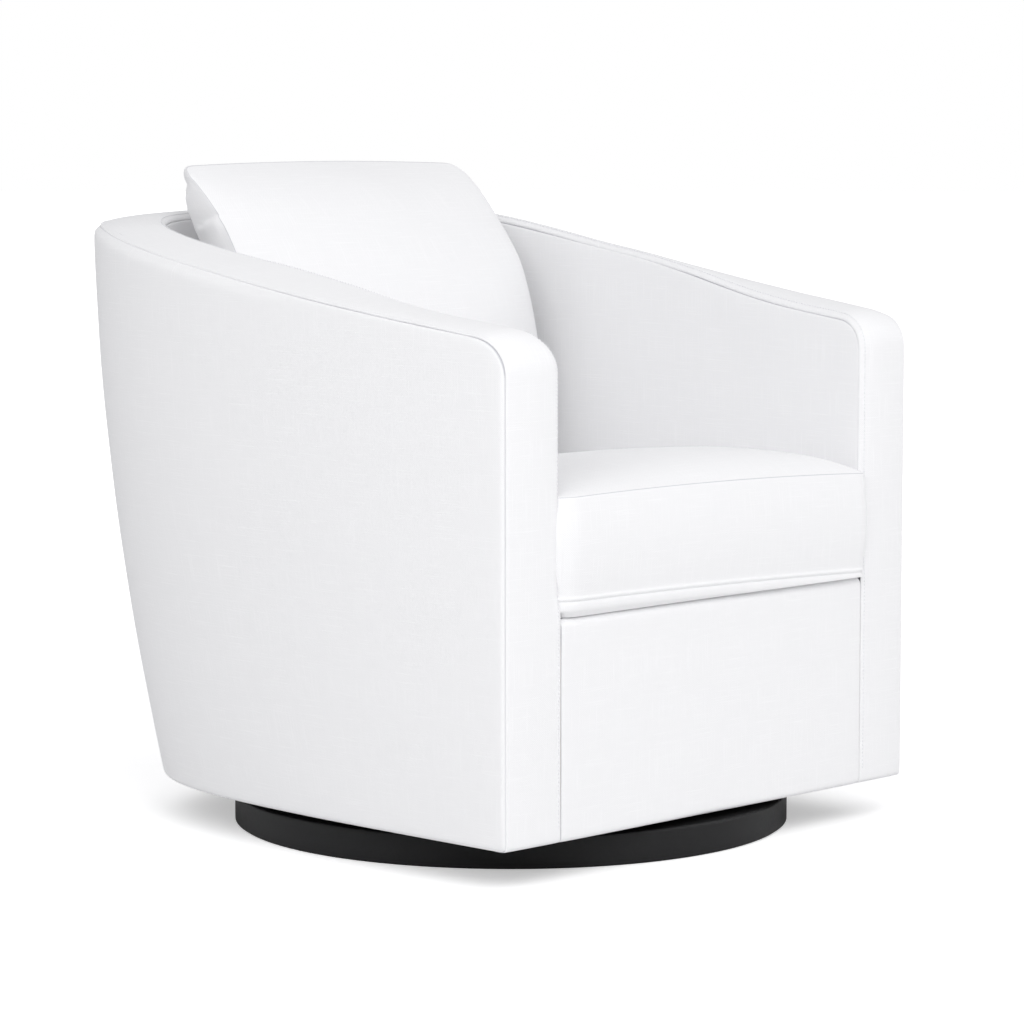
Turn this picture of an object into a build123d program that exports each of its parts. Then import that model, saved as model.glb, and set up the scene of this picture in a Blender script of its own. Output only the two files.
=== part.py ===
"""Barrel swivel chair: an upholstered, flared and raked barrel on a ball-bearing swivel and a round plinth.

Millimetres, +Z up, seat facing -Y. The origin is on the floor, on the swivel axis.
"""

import os

from build123d import *

# Base
base_radius = 340
base_height = 38
rim_wall = 18
rim_round = 3
board_thickness = 18
brace_width = 60
felt_thickness = 2
felt_width = 14

# Swivel bearing
swivel_height = 12
swivel_plate_size = 300
swivel_plate_thickness = 2.5
swivel_plate_corner = 20
race_radius = 110
race_width = 20
race_rise = 1.5
ball_radius = 3
ball_count = 16
cage_width = 14
cage_thickness = 1.2
rivet_radius = 18
rivet_wall = 3
rivet_flange = 7
rivet_flange_thickness = 2
screw_inset = 22
screw_radius = 2.5
screw_head_radius = 5
screw_head_height = 2
screw_length = 12

# Barrel: half plan at the foot and at the rim, each one curve from ahead of the arm front to the back
front_y = -334
front_half_width = 353
plan_lead = 40
foot_lead_in = 1
foot_side_x = 364
foot_side_y = 295
foot_corner_x = 352
foot_back_y = 409
rim_lead_in = 4
rim_side_x = 434
rim_side_y = 475
rim_corner_x = 350
rim_back_y = 479
flare_height = 612
flare_bow = 0.178

# Barrel wall: top line, thickness and layers from the outside in
arm_front_z = 625
back_rim_z = 745
rim_sag = 7.7
arm_thickness = 80
arm_corner_radius = 50
edge_round = 12
seam_drop = 10
cloth = 2
panel_thickness = 5
timber = 30
band_foam_thickness = 15
hem_drop = 1
hem_round = 12

# Frame
rail_depth = 45
post_width = 45
back_joint_y = 260
middle_post_y = -40
swivel_board_width = 110
swivel_board_thickness = 22
swivel_board_margin = 17
corner_block_leg = 70
seat_rail_thickness = 25
dust_cover_thickness = 0.8

# Seat deck
deck_z = 302
deck_pad_thickness = 30
webbing_width = 60
webbing_thickness = 2
long_strap_count = 5
cross_strap_count = 4
strap_field_front_y = -250
strap_field_back_y = 210
strap_field_half_width = 200
spring_rail_depth = 60

# Seat cushion
seat_crown_z = 470
seat_crown_y = -340
seat_crown_radius = 2000
seat_overhang = 8
seat_side_gap = 3
seat_seam_round = 14
seat_corner_round = 30

# Back cushion
back_half_width = 242
back_crown_z = 806
back_crown_y = 345
back_foot_y = 178
back_belly_y = 160
back_belly_z = 575
back_shoulder_y = 212
back_shoulder_z = 715
back_swell = 38
back_crown_swell = 14
back_wall_gap = 4
back_sink = 130
back_seam_round = 16

# Clearances
fit = 0.3
running_gap = 0.3
reach = 1000

# Levels and insets worked out from the sizes above
frame_z = base_height + swivel_height
hem_z = frame_z - hem_drop
panel_outer = cloth + fit
panel_inner = panel_outer + panel_thickness
frame_outer = panel_inner + fit
frame_inner = frame_outer + timber
foam_outer = frame_inner + fit
foam_inner = arm_thickness - cloth - fit
lining_outer = arm_thickness - cloth
band_inner = panel_outer + band_foam_thickness
core_drop = band_inner + fit
rail_drop = core_drop + rail_depth
post_top_drop = rail_drop + fit
post_front_y = front_y + core_drop
post_back_y = post_front_y + post_width
front_rail_back_y = post_front_y + timber
rail_top_z = frame_z + rail_depth
panel_z = frame_z + hem_round
pad_top_z = deck_z - cloth - fit
pad_bottom_z = pad_top_z - deck_pad_thickness
spring_rail_z = pad_bottom_z - fit - 2 * (webbing_thickness + fit)
spring_rail_low_z = spring_rail_z - spring_rail_depth
seat_bottom_z = deck_z + fit
back_bottom_z = seat_crown_z - back_sink
ball_z = base_height + swivel_height / 2
upper_plate_z = frame_z - swivel_plate_thickness

os.makedirs("parts", exist_ok=True)


def keep(builder, name):
    """Label a finished piece and write it out."""
    builder.part.label = name
    export_step(builder.part, f"parts/{name}.step")


def half_plan(level, inset):
    """Control points of the right half of the barrel's plan at a height, moved inwards by an inset."""
    rise = (level - hem_z) / flare_height
    flare = rise + 4 * flare_bow * rise * (1 - rise)
    lead_y = front_y - plan_lead
    foot = [
        Vector(front_half_width - foot_lead_in, lead_y),
        Vector(foot_side_x, foot_side_y),
        Vector(foot_corner_x, foot_back_y),
        Vector(0, foot_back_y),
    ]
    rim = [
        Vector(front_half_width - rim_lead_in, lead_y),
        Vector(rim_side_x, rim_side_y),
        Vector(rim_corner_x, rim_back_y),
        Vector(0, rim_back_y),
    ]
    points = [low + (high - low) * flare for low, high in zip(foot, rim)]
    legs = [(end - start).normalized() for start, end in zip(points, points[1:])]
    normals = [Vector(-leg.Y, leg.X) for leg in legs]
    moved = [points[0] + (normals[0] - legs[0] * (normals[0].Y / legs[0].Y)) * inset]
    for point, before, after in zip(points[1:], normals, normals[1:]):
        moved.append(point + (before + after) * (inset / (1 + before.dot(after))))
    moved.append(points[-1] + normals[-1] * inset)
    return moved


def plan_face(level, inset):
    """Face of the barrel's plan at a height, its side an inset inside the cloth."""
    curve = half_plan(level, inset)
    with BuildSketch(Plane.XY.offset(level)) as plan:
        with BuildLine():
            Bezier(*curve)
            mirror(about=Plane.YZ)
            Line(curve[0], (-curve[0].X, curve[0].Y))
        make_face()
    return plan.sketch


def barrel(inset):
    """Solid barrel whose side lies an inset inside the cloth, left tall and deep for trimming."""
    low = hem_z - plan_lead
    high = back_crown_z + plan_lead
    with BuildPart() as form:
        loft([plan_face(level, inset) for level in (low, (low + high) / 2, high)])
    return form.part


def rim_height(y):
    """Height of the band's crown at a depth: a slope from arm front to back that sags a little."""
    share = (y - front_y) / (rim_back_y - front_y)
    return arm_front_z + share * (back_rim_z - arm_front_z) - 4 * rim_sag * share * (1 - share)


def side_prism(drop, bottom):
    """Chair's side view, with top and front an equal drop inside the band, drawn out across the chair."""
    start = front_y + drop
    end = rim_back_y + plan_lead
    middle = (start + end) / 2
    top, back = rim_height(start) - drop, rim_height(end) - drop
    handle = 2 * (rim_height(middle) - drop) - (top + back) / 2
    with BuildPart() as prism:
        with BuildSketch(Plane.YZ) as outline:
            with BuildLine():
                Bezier((start, top), (middle, handle), (end, back))
                Polyline((end, back), (end, bottom), (start, bottom), (start, top))
            make_face()
            corner = outline.vertices().group_by(Axis.X)[0].sort_by(Axis.Y)[-1]
            fillet(corner, max(arm_corner_radius - drop, fit))
        extrude(amount=reach, both=True)
    return prism.part


def rounded_wall(inset, bottom):
    """The whole wall, arm front to arm front, an inset inside its cloth and with its edges rounded."""
    with BuildPart() as wall:
        add(barrel(inset))
        add(barrel(arm_thickness - inset), mode=Mode.SUBTRACT)
        add(side_prism(inset, bottom), mode=Mode.INTERSECT)
        sides = wall.faces().sort_by(SortBy.AREA)[-2:]
        rims = sides.edges().filter_by(lambda edge: edge.center().Z > bottom + fit)
        fillet(rims, edge_round - inset)
    return wall.part


def slab(low_z, high_z, low_y=-reach, high_y=reach, low_x=-reach, high_x=reach):
    """Block between the given planes."""
    with BuildPart() as block:
        with Locations(((low_x + high_x) / 2, (low_y + high_y) / 2, (low_z + high_z) / 2)):
            Box(high_x - low_x, high_y - low_y, high_z - low_z)
    return block.part


# Base: felt ring on the floor, bent rim, top board let into it and crossed braces below the board
with BuildPart() as floor_felt:
    with BuildSketch():
        Circle(base_radius - rim_round)
        Circle(base_radius - rim_round - felt_width, mode=Mode.SUBTRACT)
    extrude(amount=felt_thickness)
keep(floor_felt, "floor_felt")

with BuildPart() as plinth_rim:
    with BuildSketch(Plane.XY.offset(felt_thickness)):
        Circle(base_radius)
        Circle(base_radius - rim_wall, mode=Mode.SUBTRACT)
    extrude(amount=base_height - felt_thickness)
    fillet(plinth_rim.edges().group_by(Axis.Z)[-1].sort_by(SortBy.RADIUS)[-1], rim_round)
keep(plinth_rim, "plinth_rim")

plate_hole_radius = rivet_radius + fit
flange_radius = rivet_radius + rivet_flange
screw_spot = swivel_plate_size / 2 - screw_inset
board_radius = base_radius - rim_wall - fit

with BuildPart() as plinth_board:
    with BuildSketch(Plane.XY.offset(base_height - board_thickness)):
        Circle(board_radius)
        Circle(flange_radius + fit, mode=Mode.SUBTRACT)
    extrude(amount=board_thickness)
    with GridLocations(2 * screw_spot, 2 * screw_spot, 2, 2):
        Hole(screw_radius + fit)
keep(plinth_board, "plinth_board")

with BuildPart() as plinth_braces:
    with BuildSketch(Plane.XY.offset(felt_thickness)):
        Rectangle(2 * reach, brace_width)
        Rectangle(brace_width, 2 * reach)
        Circle(board_radius, mode=Mode.INTERSECT)
    extrude(amount=base_height - board_thickness - felt_thickness)
keep(plinth_braces, "plinth_braces")


# Swivel: two pressed plates with ball grooves, a cage of balls between them, a rivet through both
def swivel_plate(face_z, inwards):
    """Square plate from its outer face towards the balls, with a raised race and its ball groove."""
    with BuildPart() as plate:
        with BuildSketch(Plane.XY.offset(face_z)):
            RectangleRounded(swivel_plate_size, swivel_plate_size, swivel_plate_corner)
        extrude(amount=inwards * swivel_plate_thickness)
        with BuildSketch(Plane.XY.offset(face_z)):
            Circle(race_radius + race_width / 2)
        extrude(amount=inwards * (swivel_plate_thickness + race_rise))
        with BuildSketch(Plane.XY.offset(face_z + inwards * swivel_plate_thickness)):
            Circle(race_radius - race_width / 2)
        extrude(amount=inwards * race_rise, mode=Mode.SUBTRACT)
        with BuildSketch(Plane.XZ):
            with Locations((race_radius, ball_z)):
                Circle(ball_radius + running_gap)
        revolve(axis=Axis.Z, mode=Mode.SUBTRACT)
        Hole(plate_hole_radius)
        with GridLocations(2 * screw_spot, 2 * screw_spot, 2, 2):
            Hole(screw_radius + fit)
    return plate


lower_plate = swivel_plate(base_height, 1)
keep(lower_plate, "swivel_lower_plate")
upper_plate = swivel_plate(frame_z, -1)
keep(upper_plate, "swivel_upper_plate")

with BuildPart() as ball_cage:
    with BuildSketch(Plane.XY.offset(ball_z - cage_thickness / 2)):
        Circle(race_radius + cage_width / 2)
        Circle(race_radius - cage_width / 2, mode=Mode.SUBTRACT)
        with PolarLocations(race_radius, ball_count):
            Circle(ball_radius + running_gap, mode=Mode.SUBTRACT)
    extrude(amount=cage_thickness)
keep(ball_cage, "ball_cage")

with BuildPart() as bearing_balls:
    with Locations((0, 0, ball_z)):
        with PolarLocations(race_radius, ball_count):
            Sphere(ball_radius)
keep(bearing_balls, "bearing_balls")

with BuildPart() as swivel_rivet:
    with BuildSketch(Plane.XY.offset(base_height)):
        Circle(rivet_radius)
    extrude(amount=swivel_height + running_gap)
    lower_flange = Plane.XY.offset(base_height - rivet_flange_thickness)
    upper_flange = Plane.XY.offset(frame_z + running_gap)
    with BuildSketch(lower_flange, upper_flange):
        Circle(flange_radius)
    extrude(amount=rivet_flange_thickness)
    Hole(rivet_radius - rivet_wall)
keep(swivel_rivet, "swivel_rivet")


def screws(under_head_z, upwards):
    """Four pan-head screws at the plate's corners, their shanks pointing up or down from the plate."""
    with BuildPart() as group:
        with BuildSketch(Plane.XY.offset(under_head_z)):
            with GridLocations(2 * screw_spot, 2 * screw_spot, 2, 2):
                Circle(screw_head_radius)
        extrude(amount=-upwards * screw_head_height)
        with BuildSketch(Plane.XY.offset(under_head_z)):
            with GridLocations(2 * screw_spot, 2 * screw_spot, 2, 2):
                Circle(screw_radius)
        extrude(amount=upwards * screw_length)
    return group


keep(screws(base_height + swivel_plate_thickness, -1), "lower_plate_screws")
keep(screws(upper_plate_z, 1), "upper_plate_bolts")

# Frame: everything between the outside panel and the wall foam, cut from one curved zone
with BuildPart() as frame_zone:
    add(barrel(frame_outer))
    add(barrel(frame_inner), mode=Mode.SUBTRACT)
    add(side_prism(core_drop, frame_z), mode=Mode.INTERSECT)

frame_well = barrel(foam_outer)
rail_prism = side_prism(rail_drop, frame_z)
post_prism = side_prism(post_top_drop, frame_z)

for side, name in ((-1, "left"), (1, "right")):
    near, far = sorted((0, side * reach))

    with BuildPart() as bottom_rail:
        add(frame_zone.part)
        add(slab(frame_z, rail_top_z, high_y=back_joint_y, low_x=near, high_x=far), mode=Mode.INTERSECT)
    keep(bottom_rail, f"bottom_rail_{name}")

    with BuildPart() as arm_post:
        add(frame_zone.part)
        add(slab(rail_top_z, reach, high_y=post_back_y, low_x=near, high_x=far), mode=Mode.INTERSECT)
    keep(arm_post, f"arm_post_{name}")

    with BuildPart() as arm_rail:
        add(frame_zone.part)
        add(rail_prism, mode=Mode.SUBTRACT)
        add(slab(rail_top_z, reach, post_back_y, back_joint_y, near, far), mode=Mode.INTERSECT)
    keep(arm_rail, f"arm_rail_{name}")

    for post_y, place in ((middle_post_y, "middle"), (back_joint_y, "back")):
        with BuildPart() as post:
            add(frame_zone.part)
            add(post_prism, mode=Mode.INTERSECT)
            low_y, high_y = post_y - post_width / 2, post_y + post_width / 2
            add(slab(rail_top_z, reach, low_y, high_y, near, far), mode=Mode.INTERSECT)
        keep(post, f"{place}_post_{name}")

with BuildPart() as back_bottom_rail:
    add(frame_zone.part)
    add(slab(frame_z, rail_top_z, low_y=back_joint_y), mode=Mode.INTERSECT)
keep(back_bottom_rail, "bottom_rail_back")

with BuildPart() as back_rail:
    add(frame_zone.part)
    add(rail_prism, mode=Mode.SUBTRACT)
    add(slab(rail_top_z, reach, low_y=back_joint_y), mode=Mode.INTERSECT)
keep(back_rail, "back_rail")

with BuildPart() as front_rail:
    add(frame_well)
    add(slab(frame_z, rail_top_z, post_front_y, front_rail_back_y), mode=Mode.INTERSECT)
keep(front_rail, "bottom_rail_front")

with BuildPart() as front_spring_rail:
    add(frame_well)
    add(slab(spring_rail_low_z, spring_rail_z, post_front_y, front_rail_back_y), mode=Mode.INTERSECT)
keep(front_spring_rail, "spring_rail_front")

with BuildPart() as back_spring_rail:
    add(frame_well)
    add(slab(spring_rail_low_z, spring_rail_z, back_joint_y, back_joint_y + timber), mode=Mode.INTERSECT)
keep(back_spring_rail, "spring_rail_back")

for side, name in ((-1, "front"), (1, "back")):
    outer_y = screw_spot + swivel_board_margin
    low_y, high_y = sorted((side * outer_y, side * (outer_y - swivel_board_width)))
    with BuildPart() as swivel_board:
        add(frame_well)
        add(slab(frame_z, frame_z + swivel_board_thickness, low_y, high_y), mode=Mode.INTERSECT)
        with GridLocations(2 * screw_spot, 2 * screw_spot, 2, 2):
            Hole(screw_radius + fit)
        Hole(flange_radius + fit)
    keep(swivel_board, f"swivel_board_{name}")

corner_y = front_rail_back_y + fit
with BuildPart() as corner_blocks:
    with BuildSketch(Plane.XY.offset(frame_z)):
        with BuildLine():
            corner_x = front_half_width - foam_outer
            Polyline(
                (corner_x - corner_block_leg, corner_y),
                (corner_x + corner_block_leg, corner_y),
                (corner_x + corner_block_leg, corner_y + 2 * corner_block_leg),
                close=True,
            )
        make_face()
        mirror(about=Plane.YZ)
    extrude(amount=rail_depth)
    add(frame_well, mode=Mode.INTERSECT)
keep(corner_blocks, "corner_blocks")

for side, name in ((-1, "left"), (1, "right")):
    near, far = sorted((0, side * reach))
    with BuildPart() as seat_rail:
        add(frame_well)
        add(barrel(foam_outer + seat_rail_thickness), mode=Mode.SUBTRACT)
        span = slab(spring_rail_low_z, spring_rail_z, corner_y, back_joint_y - fit, near, far)
        add(span, mode=Mode.INTERSECT)
    keep(seat_rail, f"seat_rail_{name}")


# Seat deck: webbing woven between the rails, a pad and a cover
def strap(start, end, crossings, first_over):
    """Side view of a strap that passes over and under the straps it crosses, as a closed outline."""
    low = spring_rail_z + webbing_thickness / 2
    high = low + webbing_thickness + fit
    half_flat = webbing_width / 2 + 2 * webbing_thickness
    line = [(start, low)]
    for index, place in enumerate(crossings):
        level = high if (index % 2 == 0) == first_over else low
        line += [(place - half_flat, level), (place + half_flat, level)]
    line.append((end, low))
    half = webbing_thickness / 2
    return [(x, z + half) for x, z in line] + [(x, z - half) for x, z in reversed(line)]


strap_half_spread = strap_field_half_width - webbing_width / 2
strap_step = 2 * strap_half_spread / (long_strap_count - 1)
long_places = [strap_step * index - strap_half_spread for index in range(long_strap_count)]
cross_step = (strap_field_back_y - strap_field_front_y) / (cross_strap_count - 1)
cross_places = [strap_field_front_y + cross_step * index for index in range(cross_strap_count)]

with BuildPart() as long_webbing:
    for index, x in enumerate(long_places):
        with BuildSketch(Plane.YZ.offset(x)):
            with BuildLine():
                run = strap(post_front_y, back_joint_y + timber, cross_places, index % 2 == 0)
                Polyline(*run, close=True)
            make_face()
    extrude(amount=webbing_width / 2, both=True)
keep(long_webbing, "seat_webbing_long")

strap_end_x = front_half_width - foam_outer - seat_rail_thickness / 2
with BuildPart() as cross_webbing:
    for index, y in enumerate(cross_places):
        with BuildSketch(Plane.XZ.offset(-y)):
            with BuildLine():
                run = strap(-strap_end_x, strap_end_x, long_places, index % 2 == 1)
                Polyline(*run, close=True)
            make_face()
    extrude(amount=webbing_width / 2, both=True)
keep(cross_webbing, "seat_webbing_cross")

seat_well = barrel(arm_thickness + fit)

with BuildPart() as deck_pad:
    add(seat_well)
    add(slab(pad_bottom_z, pad_top_z, low_y=front_y + panel_outer), mode=Mode.INTERSECT)
keep(deck_pad, "deck_pad")

with BuildPart() as deck_cover:
    add(seat_well)
    add(slab(pad_top_z + fit, deck_z, low_y=front_y + panel_outer), mode=Mode.INTERSECT)
keep(deck_cover, "deck_cover")

with BuildPart() as front_board:
    add(seat_well)
    board_back_y = post_front_y - fit
    add(slab(panel_z, pad_bottom_z - fit, front_y + panel_outer, board_back_y), mode=Mode.INTERSECT)
keep(front_board, "front_board")

with BuildPart() as front_cover:
    add(seat_well)
    add(slab(hem_z, deck_z, front_y, front_y + cloth), mode=Mode.INTERSECT)
keep(front_cover, "front_cover")

with BuildPart() as dust_cover:
    add(barrel(edge_round))
    add(slab(frame_z - dust_cover_thickness, frame_z, low_y=front_y + edge_round), mode=Mode.INTERSECT)
    with BuildSketch(Plane.XY.offset(frame_z)):
        opening = swivel_plate_size + 2 * swivel_plate_corner
        RectangleRounded(opening, opening, swivel_plate_corner)
    extrude(amount=-dust_cover_thickness, mode=Mode.SUBTRACT)
keep(dust_cover, "dust_cover")

# Upholstery of the barrel: outside panel and cover, wall foam and lining, and the band over the top
core_prism = side_prism(core_drop, panel_z)
cover_prism = side_prism(seam_drop + fit, hem_z)
lining_prism = side_prism(seam_drop + fit, pad_bottom_z)

with BuildPart() as outside_panel:
    add(barrel(panel_outer))
    add(barrel(panel_inner), mode=Mode.SUBTRACT)
    add(core_prism, mode=Mode.INTERSECT)
keep(outside_panel, "outside_panel")

with BuildPart() as outside_cover:
    add(barrel(0))
    add(barrel(cloth), mode=Mode.SUBTRACT)
    add(cover_prism, mode=Mode.INTERSECT)
keep(outside_cover, "outside_cover")

with BuildPart() as wall_foam:
    add(barrel(foam_outer))
    add(barrel(foam_inner), mode=Mode.SUBTRACT)
    add(side_prism(core_drop, pad_bottom_z), mode=Mode.INTERSECT)
keep(wall_foam, "wall_foam")

with BuildPart() as inside_cover:
    add(barrel(lining_outer))
    add(barrel(arm_thickness), mode=Mode.SUBTRACT)
    add(lining_prism, mode=Mode.INTERSECT)
keep(inside_cover, "inside_cover")

with BuildPart() as band_foam:
    add(rounded_wall(panel_outer, frame_z))
    add(side_prism(band_inner, frame_z - reach), mode=Mode.SUBTRACT)
keep(band_foam, "band_foam")

with BuildPart() as band_cover:
    add(rounded_wall(0, hem_z))
    add(rounded_wall(cloth, hem_z), mode=Mode.SUBTRACT)
    add(side_prism(seam_drop, hem_z - reach), mode=Mode.SUBTRACT)
keep(band_cover, "band_cover")


# Loose cushions, each a sewn cover round its filling
def seat_form(inset):
    """Boxed seat cushion with a crowned top, its surface an inset inside the cover."""
    front = front_y - seat_overhang + inset
    outline = plan_face(seat_bottom_z, arm_thickness + seat_side_gap + inset)
    with BuildPart() as form:
        extrude(outline, amount=seat_crown_z - seat_bottom_z)
        add(slab(seat_bottom_z + inset, seat_crown_z, low_y=front), mode=Mode.INTERSECT)
        upright = form.edges().filter_by(lambda edge: abs((edge % 0.5).Z) > abs((edge % 0.5).X))
        fillet(upright.group_by(Axis.Y)[0], seat_corner_round - inset)
        with Locations((0, seat_crown_y, seat_crown_z - seat_crown_radius)):
            Sphere(seat_crown_radius - inset, mode=Mode.INTERSECT)
        seams = form.faces().filter_by(GeomType.SPHERE).edges() + form.faces().sort_by(Axis.Z)[0].edges()
        fillet(seams, seat_seam_round - inset)
    return form.part


def back_profile(x, swell, inset):
    """Side view of the back cushion at a place across it, with the share of its swell that it has there."""
    flat = back_swell * (1 - swell)
    wall_inset = arm_thickness + back_wall_gap
    with BuildSketch(Plane.YZ.offset(x)) as profile:
        with BuildLine():
            outline = Spline(
                (back_foot_y + flat, back_bottom_z),
                (back_belly_y + flat, back_belly_z),
                (back_shoulder_y + flat, back_shoulder_z),
                (back_crown_y, back_crown_z - back_crown_swell * (1 - swell)),
                (half_plan(back_rim_z, wall_inset)[-1].Y, back_rim_z),
                (half_plan(back_bottom_z, wall_inset)[-1].Y, back_bottom_z),
            )
            Line(outline @ 1, outline @ 0)
        make_face()
        if inset:
            offset(amount=-inset)
    return profile.sketch


def back_form(inset):
    """Plump back cushion that leans on the barrel, its surface an inset inside the cover."""
    end = back_half_width - inset
    with BuildPart() as form:
        loft([back_profile(-end, 0, inset), back_profile(0, 1, inset), back_profile(end, 0, inset)])
        add(barrel(arm_thickness + back_wall_gap + inset), mode=Mode.INTERSECT)
        ends = form.edges().filter_by(lambda edge: abs(edge.center().X) > end / 2)
        fillet(ends.sort_by(Axis.Y)[:2], back_seam_round - inset)
        with Locations((0, seat_crown_y, seat_crown_z - seat_crown_radius)):
            Sphere(seat_crown_radius + fit + inset, mode=Mode.SUBTRACT)
    return form.part


with BuildPart() as seat_cushion_cover:
    add(seat_form(0))
    add(seat_form(cloth), mode=Mode.SUBTRACT)
keep(seat_cushion_cover, "seat_cushion_cover")

with BuildPart() as seat_cushion_foam:
    add(seat_form(cloth + fit))
keep(seat_cushion_foam, "seat_cushion_foam")

with BuildPart() as back_cushion_cover:
    add(back_form(0))
    add(back_form(cloth), mode=Mode.SUBTRACT)
keep(back_cushion_cover, "back_cushion_cover")

with BuildPart() as back_cushion_filling:
    add(back_form(cloth + fit))
keep(back_cushion_filling, "back_cushion_filling")
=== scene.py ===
import math

import bmesh
import bpy
import numpy as np
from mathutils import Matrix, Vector


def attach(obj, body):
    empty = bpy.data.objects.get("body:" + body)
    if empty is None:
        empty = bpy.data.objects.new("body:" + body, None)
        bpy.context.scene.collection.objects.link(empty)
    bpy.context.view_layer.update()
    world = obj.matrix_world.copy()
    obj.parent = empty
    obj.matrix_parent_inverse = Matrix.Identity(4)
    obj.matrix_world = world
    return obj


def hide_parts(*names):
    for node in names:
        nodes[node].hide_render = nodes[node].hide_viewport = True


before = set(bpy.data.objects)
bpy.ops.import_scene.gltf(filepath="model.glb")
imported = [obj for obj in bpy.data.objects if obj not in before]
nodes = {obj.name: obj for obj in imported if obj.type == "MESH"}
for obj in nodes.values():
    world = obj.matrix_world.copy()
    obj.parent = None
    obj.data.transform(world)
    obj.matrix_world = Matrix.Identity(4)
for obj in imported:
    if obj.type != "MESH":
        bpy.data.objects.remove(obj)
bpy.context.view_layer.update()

# Studio: a pale paper floor, white surroundings, four large soft lamps and the camera.
# Floor and surroundings read as white to the camera, and the floor keeps the chair's shadow.
floor_radius = 25.0
floor_colour = "#f1f1f1"
floor_glow, far_glow = 0.42, 0.95
glow_near, glow_far = 0.8, 3.0
ambient_colour = "#fdfdff"
ambient_strength = 0.57


def linear(code):
    """Linear colour of an sRGB hex value."""
    shares = [int(code[place:place + 2], 16) / 255 for place in (1, 3, 5)]
    return [s / 12.92 if s <= 0.04045 else ((s + 0.055) / 1.055) ** 2.4 for s in shares] + [1.0]


def add_node(tree, kind, inputs=None, **settings):
    """Add a shader node with its settings, and link or fill its inputs."""
    node = tree.nodes.new("ShaderNode" + kind)
    for name, value in settings.items():
        setattr(node, name, value)
    for name, value in (inputs or {}).items():
        if isinstance(value, bpy.types.NodeSocket):
            tree.links.new(value, node.inputs[name])
        else:
            node.inputs[name].default_value = value
    return node


def new_material(name):
    """Node material with nothing in it yet, and its tree."""
    material = bpy.data.materials.new(name)
    material.use_nodes = True
    material.node_tree.nodes.clear()
    return material, material.node_tree


def placed(name, data):
    """Object with its data, linked into the scene."""
    item = bpy.data.objects.new(name, data)
    bpy.context.scene.collection.objects.link(item)
    return item


floor_paper, tree = new_material("studio_paper")
light_path = add_node(tree, "LightPath")
paper = add_node(tree, "BsdfDiffuse", {"Color": linear(floor_colour)})
floor_place = add_node(tree, "NewGeometry")
from_chair = add_node(tree, "VectorMath", {0: floor_place.outputs["Position"]}, operation="LENGTH")
glow_level = add_node(tree, "MapRange", {
    0: from_chair.outputs["Value"],
    1: glow_near,
    2: glow_far,
    3: floor_glow,
    4: far_glow,
})
glow_share = add_node(tree, "Math", {
    0: light_path.outputs["Is Camera Ray"],
    1: glow_level.outputs[0],
}, operation="MULTIPLY")
glow = add_node(tree, "Emission", {"Strength": glow_share.outputs[0]})
lit_paper = add_node(tree, "AddShader", {0: paper.outputs[0], 1: glow.outputs[0]})
add_node(tree, "OutputMaterial", {"Surface": lit_paper.outputs[0]})

floor_mesh = bpy.data.meshes.new("studio_floor")
bm = bmesh.new()
bmesh.ops.create_circle(bm, cap_ends=True, radius=floor_radius, segments=128)
bm.to_mesh(floor_mesh)
bm.free()
floor_mesh.materials.append(floor_paper)
studio_floor = placed("studio_floor", floor_mesh)

world = bpy.data.worlds.new("studio_surroundings")
world.use_nodes = True
tree = world.node_tree
tree.nodes.clear()
light_path = add_node(tree, "LightPath")
seen = light_path.outputs["Is Camera Ray"]
for ray in ("Is Glossy Ray", "Is Transmission Ray"):
    seen = add_node(tree, "Math", {0: seen, 1: light_path.outputs[ray]}, operation="MAXIMUM").outputs[0]
ambient = add_node(tree, "Background", {"Color": linear(ambient_colour), "Strength": ambient_strength})
backdrop = add_node(tree, "Background", {"Color": linear("#ffffff"), "Strength": 1.0})
surroundings = add_node(tree, "MixShader", {0: seen, 1: ambient.outputs[0], 2: backdrop.outputs[0]})
add_node(tree, "OutputWorld", {"Surface": surroundings.outputs[0]})
bpy.context.scene.world = world
bpy.context.scene.view_settings.view_transform = "Standard"


def aim(item, place, target):
    """Stand a lamp or camera at a place, looking at a target."""
    item.location = place
    item.rotation_euler = (Vector(target) - Vector(place)).to_track_quat("-Z", "Y").to_euler()


lamp_target = (0, 0, 0.4)
for name, place, width, power in (
    ("right_lamp", (3.4, -3.0, 2.6), 2.6, 37.0),
    ("left_lamp", (-4.0, -1.6, 3.0), 2.8, 57.0),
    ("front_lamp", (0.0, -4.8, 1.0), 2.4, 9.0),
    ("high_lamp", (-1.8, -3.2, 3.6), 2.6, 61.0),
):
    lamp = bpy.data.lights.new(name, "AREA")
    lamp.size = width
    lamp.energy = power
    aim(placed(name, lamp), place, lamp_target)

photo_width = 1024
focal_pixels = 4034.2
axis_pixel = (510.96, 520.12)
camera_place, camera_target = (-3.5261, -3.4240, 0.9208), (0, 0, 0.3672)
camera = bpy.data.cameras.new("photo_camera")
camera.lens = camera.sensor_width * focal_pixels / photo_width
camera.shift_x = 0.5 - axis_pixel[0] / photo_width
camera.shift_y = axis_pixel[1] / photo_width - 0.5
photo_camera = placed("photo_camera", camera)
aim(photo_camera, camera_place, camera_target)
bpy.context.scene.camera = photo_camera


# Base: a bent wooden rim with a board let into it, painted matt black, braced below and shod with felt.
# The paint is rolled and rubbed down, so it is even, dark and only softly shiny along the rounded top edge.
def dress(material, *names):
    """Give CAD nodes a material."""
    for name in names:
        nodes[name].data.materials.clear()
        nodes[name].data.materials.append(material)


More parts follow.
